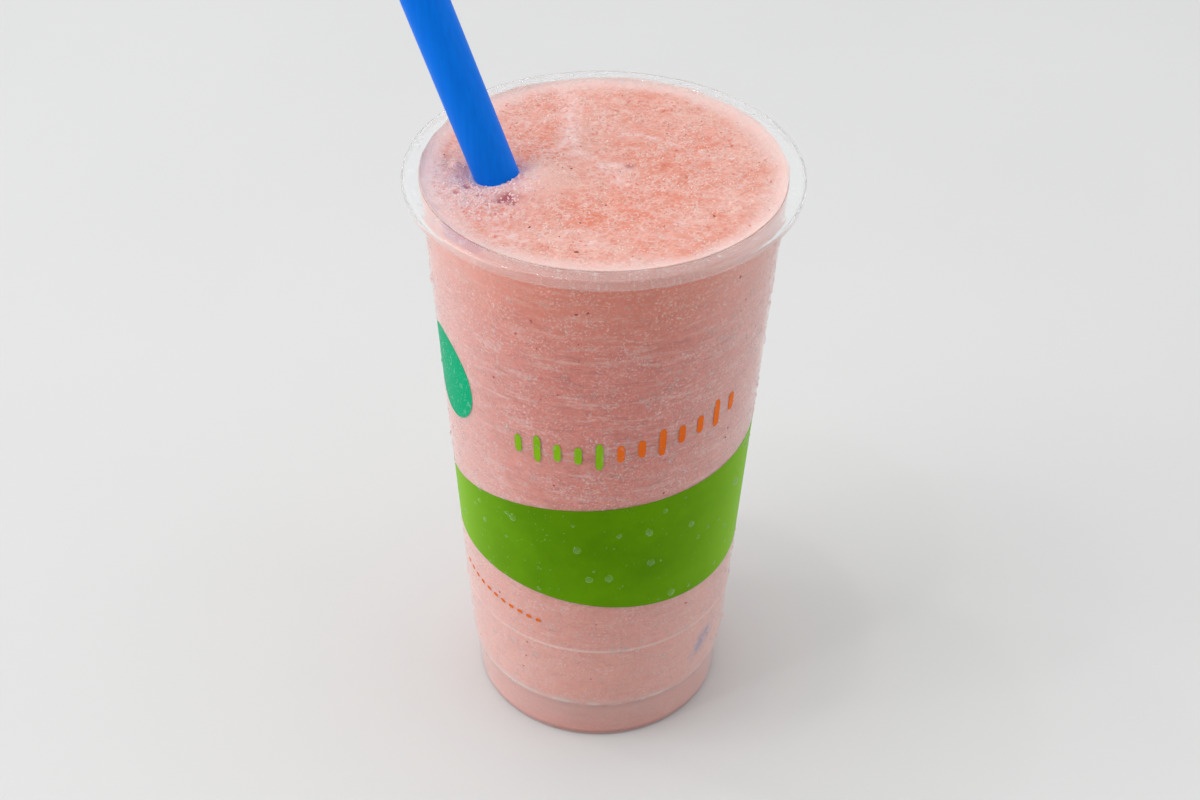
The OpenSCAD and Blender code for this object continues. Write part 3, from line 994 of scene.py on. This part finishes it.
def scatter(name, shape, places, scales, frames, material, jitter=0.0, sharp=80):
    """One mesh with a copy of shape at each place, sized along the axes of its own frame."""
    points, faces = shape
    count, size = len(places), len(points)
    local = np.repeat(points[None, :, :], count, axis=0) * scales[:, None, :]
    if jitter:
        local *= 1 + jitter * chance.uniform(-1, 1, (count, size, 1))
    world = np.einsum("nij,npj->npi", frames, local) + places[:, None, :]
    shifts = (np.arange(count) * size)[:, None, None]
    triangles = (faces[None, :, :] + shifts).reshape(-1, faces.shape[1])
    return make_piece(name, world.reshape(-1, 3), triangles, material, sharp)


def frames_about(normals):
    """Two directions across each normal, at right angles to each other."""
    upright, sideways = np.array([[0.0, 0.0, 1.0]]), np.array([[1.0, 0.0, 0.0]])
    helper = np.where(np.abs(normals[:, 2:3]) < 0.9, upright, sideways)
    across = np.cross(helper, normals)
    across /= np.linalg.norm(across, axis=1, keepdims=True)
    up = np.cross(normals, across)
    return across, up


def turned_frames(normals, turns):
    """Frames about the normals, turned by the given angles."""
    across, up = frames_about(normals)
    c, s = np.cos(turns)[:, None], np.sin(turns)[:, None]
    return np.stack([c * across + s * up, c * up - s * across, normals], axis=2)


def surface_spots(count, weight):
    """Random places on the drink's top, kept by a weight of 0 to 1, and clear of the straw."""
    found = []
    while sum(len(f) for f in found) < count:
        r = surface_edge * 0.985 * np.sqrt(chance.uniform(0, 1, count * 2))
        t = chance.uniform(0, 2 * np.pi, count * 2)
        x, y = r * np.cos(t), r * np.sin(t)
        off = np.hypot(x - straw_foot.x, y - straw_foot.y) > straw_radius * 1.05
        keep = (chance.uniform(0, 1, count * 2) < weight(x, y)) & off
        found.append(np.column_stack([x[keep], y[keep]]))
    spots = np.vstack(found)[:count]
    return np.column_stack([spots, drink_level + surface_height(spots[:, 0], spots[:, 1])])


def tilted_up(count, tilt):
    """Normals near the vertical."""
    lean_x = chance.uniform(-tilt, tilt, count)
    lean_y = chance.uniform(-tilt, tilt, count)
    normals = np.column_stack([lean_x, lean_y, np.ones(count)])
    return normals / np.linalg.norm(normals, axis=1, keepdims=True)


def grain_shader(name, low, high, roughness, coat):
    """Colour that varies from grain to grain and inside each one."""
    grain = Shader(name)
    place = grain.add("TexCoord")
    cloud = grain.add("TexNoise", in_Scale=900.0, in_Detail=3.0, in_Vector=place.outputs["Object"])
    tone = grain.ramp(cloud.outputs["Fac"], 0.35, low, 0.65, high)
    bump = grain.add("Bump", in_Strength=0.3, in_Distance=0.0001, in_Height=cloud.outputs["Fac"])
    grain.set(Base_Color=tone, Normal=bump.outputs["Normal"])
    grain.set(Roughness=roughness, Coat_Weight=coat, Coat_Roughness=0.1)
    return grain.material


ice_paint = grain_shader("ice_grain", linear(244, 196, 184), linear(252, 224, 216), 0.3, 0.2)
pulp_paint = grain_shader("pulp_flake", linear(222, 118, 96), linear(236, 146, 122), 0.5, 0.0)
bubble_paint = grain_shader("froth_bubble", linear(240, 196, 196), linear(252, 224, 224), 0.15, 0.3)


def ice_weight(x, y):
    """Ice grains lie in patches all over the top."""
    patch = 0.35 + 0.75 * lattice_noise(x, y, 0.0042, 51) + 0.35 * lattice_noise(x, y, 0.0016, 52)
    return np.clip(patch, 0.02, 1)


def pulp_weight(x, y):
    """Pulp flakes gather in fewer, wider patches."""
    patch = 0.12 + 0.8 * lattice_noise(x, y, 0.006, 53) + 0.3 * lattice_noise(x, y, 0.002, 54)
    return np.clip(patch, 0.01, 1)


def bubble_weight(x, y):
    """Bubbles crowd at the foot of the straw."""
    near = hump(x, y, straw_foot + Vector((0.001, -0.007, 0)), 0.0052)
    return np.clip(near + 0.5 * hump(x, y, straw_foot + Vector((-0.006, -0.011, 0)), 0.006), 0, 1)


ice_count = 2600
ice_spots = surface_spots(ice_count, ice_weight)
ice_sizes = chance.uniform(0.00013, 0.00034, (ice_count, 3)) * np.array([1.2, 0.8, 0.6])
ice_frames = turned_frames(tilted_up(ice_count, 0.5), chance.uniform(0, full_turn, ice_count))
ice = scatter("ice_grains", ball_mesh(3, 5), ice_spots, ice_sizes, ice_frames, ice_paint, 0.2, 0)

pulp_count = 260
pulp_spots = surface_spots(pulp_count, pulp_weight)
pulp_sizes = chance.uniform(0.5, 1.1, (pulp_count, 1)) * np.array([[0.00055, 0.0003, 0.0001]])
pulp_frames = turned_frames(tilted_up(pulp_count, 0.2), chance.uniform(0, full_turn, pulp_count))
pulp = scatter("pulp_flakes", ball_mesh(3, 6), pulp_spots, pulp_sizes, pulp_frames, pulp_paint, 0.25, 0)

bubble_count = 420
bubble_spots = surface_spots(bubble_count, bubble_weight)
bubble_spots[:, 2] -= 0.0001
bubble_sizes = np.repeat(chance.uniform(0.00014, 0.0004, (bubble_count, 1)), 3, axis=1)
bubble_frames = turned_frames(tilted_up(bubble_count, 0.1), chance.uniform(0, full_turn, bubble_count))
bubbles = scatter("froth_bubbles", ball_mesh(5, 8), bubble_spots, bubble_sizes, bubble_frames, bubble_paint)

for piece, slot in ((ice, "froth"), (pulp, "fruit_specks"), (bubbles, "froth")):
    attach(piece, "root")

# ---------------------------------------------------------------------------
# Strawberry seeds: small pointed ovals, blended in whole. Some lie on the surface and some show dark red
# through the wall, half sunk in the drink's skin.

seed_paint = grain_shader("seed_brown", linear(120, 46, 22), linear(168, 80, 40), 0.4, 0.1)
skin_seed_paint = grain_shader("seed_red", linear(190, 60, 50), linear(216, 92, 76), 0.45, 0.0)
top_seeds = np.array([(-0.0058, -0.0343), (0.0250, -0.0196), (-0.0077, -0.0006), (-0.0165, -0.0244),
                      (-0.0052, -0.0224)])
more_seeds = surface_spots(14, lambda x, y: np.full(len(x), 0.8))
top_seed_heights = drink_level + surface_height(top_seeds[:, 0], top_seeds[:, 1])
seed_spots = np.vstack([np.column_stack([top_seeds, top_seed_heights]), more_seeds])
seed_scale = np.concatenate([(1.0, 0.6, 0.6, 0.6, 0.5), chance.uniform(0.3, 0.5, len(more_seeds))])
seed_sizes = seed_scale[:, None] * np.array([[0.00062, 0.0004, 0.00028]])
seed_frames = turned_frames(tilted_up(len(seed_spots), 0.3), chance.uniform(0, full_turn, len(seed_spots)))
seeds = scatter("seeds_top", ball_mesh(6, 8), seed_spots, seed_sizes, seed_frames, seed_paint, 0.06)


def wall_spots(count, low, high, depth, weight=None):
    """Random places on the wall at a depth inside its outer face, with their outward normals."""
    found = []
    while sum(len(f) for f in found) < count:
        turn = chance.uniform(-math.pi, math.pi, count * 2)
        height = chance.uniform(low, high, count * 2)
        if weight is not None:
            keep = chance.uniform(0, 1, count * 2) < weight(turn, height)
            turn, height = turn[keep], height[keep]
        found.append(np.column_stack([turn, height]))
    turn, height = np.vstack(found)[:count].T
    return on_wall(turn, height, depth)


def on_wall(turn, height, depth):
    """Places and outward normals on the wall."""
    radius = wall_radius(height, depth)
    places = np.column_stack([radius * np.cos(turn), radius * np.sin(turn), height])
    normals = np.column_stack([np.cos(turn), np.sin(turn), np.full(len(turn), -wall_lean)])
    return places, normals / np.linalg.norm(normals, axis=1, keepdims=True)


side_seed_count = 130
side_places, side_normals = wall_spots(side_seed_count, 0.018, 0.157, drink_depth)
side_sizes = chance.uniform(0.4, 1.0, (side_seed_count, 1)) * np.array([[0.0005, 0.00038, 0.00012]])
side_frames = turned_frames(side_normals, chance.uniform(0, full_turn, side_seed_count))
side_seeds = scatter("seeds_side", ball_mesh(4, 7), side_places, side_sizes, side_frames,
                     skin_seed_paint, 0.1)
for piece in (seeds, side_seeds):
    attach(piece, "root")

# ---------------------------------------------------------------------------
# Condensation: water on the cold plastic, from mist and a dense fine dew through small drops to round
# beads, with long drops on the step of the foot and a few drops on the rim. Each one is a low dome whose
# foot sits in the plastic.

water = Shader("water_clear")
water_place = water.add("TexCoord")
water_cloud = water.add("TexNoise", in_Scale=300.0, in_Detail=2.0,
                        in_Vector=water_place.outputs["Object"])
water_tone = water.ramp(water_cloud.outputs["Fac"], 0.0, (0.95, 0.96, 0.97, 1), 1.0, (1.0, 1.0, 1.0, 1))
water_bump = water.add("Bump", in_Strength=0.1, in_Distance=0.0001,
                       in_Height=water_cloud.outputs["Fac"])
water.set(Base_Color=water_tone, Normal=water_bump.outputs["Normal"])
water.set(Transmission_Weight=1.0, IOR=1.07, Roughness=0.04)
water.set(Coat_Weight=1.0, Coat_IOR=1.5, Coat_Roughness=0.05)
let_lamps_through(water)


def dome_mesh(sides, bands):
    """A closed dome of unit radius and height, with a flat foot just below zero."""
    points = []
    for band in range(bands):
        a = math.pi / 2 * band / bands
        for side in range(sides):
            t = 2 * math.pi * (side + 0.5 * (band % 2)) / sides
            height = math.sin(a) if band else -0.12
            points.append((math.cos(a) * math.cos(t), math.cos(a) * math.sin(t), height))
    points.append((0, 0, 1))
    faces = []
    for band in range(bands - 1):
        a, b = band * sides, (band + 1) * sides
        for side in range(sides):
            after = (side + 1) % sides
            if band % 2:
                faces += [(a + side, a + after, b + after), (a + side, b + after, b + side)]
            else:
                faces += [(a + side, a + after, b + side), (a + after, b + after, b + side)]
    top = (bands - 1) * sides
    for side in range(sides):
        faces.append((top + side, top + (side + 1) % sides, len(points) - 1))
    for side in range(1, sides - 1):
        faces.append((0, side + 1, side))
    return np.array(points, dtype=float), np.array(faces)


def dew_weight(turn, height):
    """Dew gathers in patches, and thins out low on the cup and on the green band."""
    x, y = turn * 0.04, height
    patch = 0.7 + 0.45 * lattice_noise(x, y, 0.010, 61) + 0.35 * lattice_noise(x, y, 0.0025, 62)
    on_band = (height > band_edge(band_bottom, turn)) & (height < band_edge(band_top, turn))
    return np.clip(patch, 0.04, 1) * np.clip((height - 0.01) / 0.05, 0.35, 1) * np.where(on_band, 0.15, 1)


def add_water(name, shape, places, normals, radii, flatness, stretch):
    """Drops of one kind, stretched a little up and down, as one piece."""
    across, up = frames_about(normals)
    frames = np.stack([across, up, normals], axis=2)
    sizes = np.column_stack([radii, radii * stretch, radii * flatness])
    piece = scatter(name, shape, places - normals * 0.00002, sizes, frames, water.material)
    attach(piece, "root")
    return piece


fine_count = 8200
places, normals = wall_spots(fine_count, 0.0165, 0.158, 0, dew_weight)
add_water("dew_fine", dome_mesh(6, 2), places, normals, chance.uniform(0.00012, 0.00030, fine_count),
          chance.uniform(0.45, 0.7, fine_count), chance.uniform(0.9, 1.6, fine_count))

mist_count = 19000
places, normals = wall_spots(mist_count, 0.0165, 0.159, 0, dew_weight)
add_water("dew_mist", dome_mesh(5, 1), places, normals, chance.uniform(0.00007, 0.00015, mist_count),
          chance.uniform(0.6, 0.9, mist_count), chance.uniform(0.8, 1.4, mist_count))

drop_count = 1500
places, normals = wall_spots(drop_count, 0.0165, 0.159, 0, dew_weight)
drop_radii = 0.0003 + 0.0005 * chance.uniform(0, 1, drop_count) ** 3
add_water("dew_drops", dome_mesh(8, 3), places, normals, drop_radii,
          chance.uniform(0.45, 0.65, drop_count), chance.uniform(0.9, 1.5, drop_count))

# beads by chance, and ten larger ones in set places, seven of them on the green band
loose_beads = 70
places, normals = wall_spots(loose_beads, 0.020, 0.155, 0)
bead_turns = np.radians(np.array([-93.5, -86.0, -98.0, -70.0, -60.0, -148.0, -152.0, -28.0, -20.0, -25.0]))
bead_heights = np.array([0.0655, 0.0660, 0.0760, 0.0700, 0.0560, 0.0980, 0.1010, 0.0820, 0.0930, 0.1300])
more_places, more_normals = on_wall(bead_turns, bead_heights, 0)
places, normals = np.vstack([places, more_places]), np.vstack([normals, more_normals])
bead_radii = 0.00055 + 0.0006 * chance.uniform(0, 1, loose_beads) ** 2
bead_radii = np.concatenate([bead_radii, np.full(len(bead_turns), 0.00115)])
add_water("beads", dome_mesh(18, 6), places, normals, bead_radii, chance.uniform(0.5, 0.7, len(places)),
          chance.uniform(0.95, 1.25, len(places)))

ledge_turns = np.radians(np.array([-104, -99, -92.5, -87, -76, -71, -55, -42, -120, -131, -150, -170,
                                   20, 47, 80, 133]))
ledge_count = len(ledge_turns)
ledge_radius = (belt_radius + wall_radius(step_top_height)) / 2 + 0.0001
ledge_height = (belt_height + step_top_height) / 2 + 0.0001
ledge_places = np.column_stack([ledge_radius * np.cos(ledge_turns), ledge_radius * np.sin(ledge_turns),
                                np.full(ledge_count, ledge_height)])
ledge_slope = 0.5
ledge_normals = np.column_stack([np.cos(ledge_turns), np.sin(ledge_turns),
                                 np.full(ledge_count, ledge_slope)])
ledge_normals /= math.sqrt(1 + ledge_slope ** 2)
add_water("ledge_drops", dome_mesh(14, 4), ledge_places, ledge_normals,
          chance.uniform(0.0010, 0.0022, ledge_count), chance.uniform(0.25, 0.35, ledge_count),
          chance.uniform(0.3, 0.4, ledge_count))

rim_count = 150
rim_turns = chance.uniform(-math.pi, math.pi, rim_count)
rim_spread = chance.uniform(0, 1, rim_count)
rim_reach = wall_top_radius + 0.0012 + rim_spread * (rim_width - 0.0032)
rim_places = np.column_stack([rim_reach * np.cos(rim_turns), rim_reach * np.sin(rim_turns),
                              np.full(rim_count, cup_height)])
rim_normals = np.repeat([[0.0, 0.0, 1.0]], rim_count, axis=0)
rim_radii = 0.0002 + 0.0006 * chance.uniform(0, 1, rim_count) ** 3
add_water("rim_drops", dome_mesh(12, 4), rim_places, rim_normals, rim_radii,
          chance.uniform(0.35, 0.6, rim_count), chance.uniform(0.8, 1.6, rim_count))

# ---------------------------------------------------------------------------
# The box of the visual model, found in the same way as the box of the CAD part above.

low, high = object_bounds()
